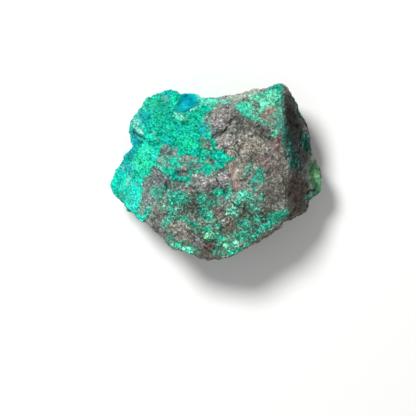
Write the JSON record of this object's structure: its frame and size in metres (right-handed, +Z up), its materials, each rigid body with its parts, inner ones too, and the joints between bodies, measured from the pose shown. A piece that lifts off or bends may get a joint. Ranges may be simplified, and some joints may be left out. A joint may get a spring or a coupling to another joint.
{
  "type": "chrysocolla specimen",
  "caption": "Broken hand-sized lump of blue-green chrysocolla on dark ore, lying on its flat underside with its best face up.",
  "frame": {"origin": "on the surface it rests on, under the middle of its bounding box", "axes": "+X along the long way of its best face, +Y towards the concave back edge of that face, +Z up, out of the face"},
  "size_m": [0.07, 0.0576, 0.032],
  "materials": {
    "chrysocolla_ore": "dull, granular broken ore"
  },
  "bodies": {
    "root": {"chrysocolla_specimen": "chrysocolla_ore"}
  },
  "joints": []
}
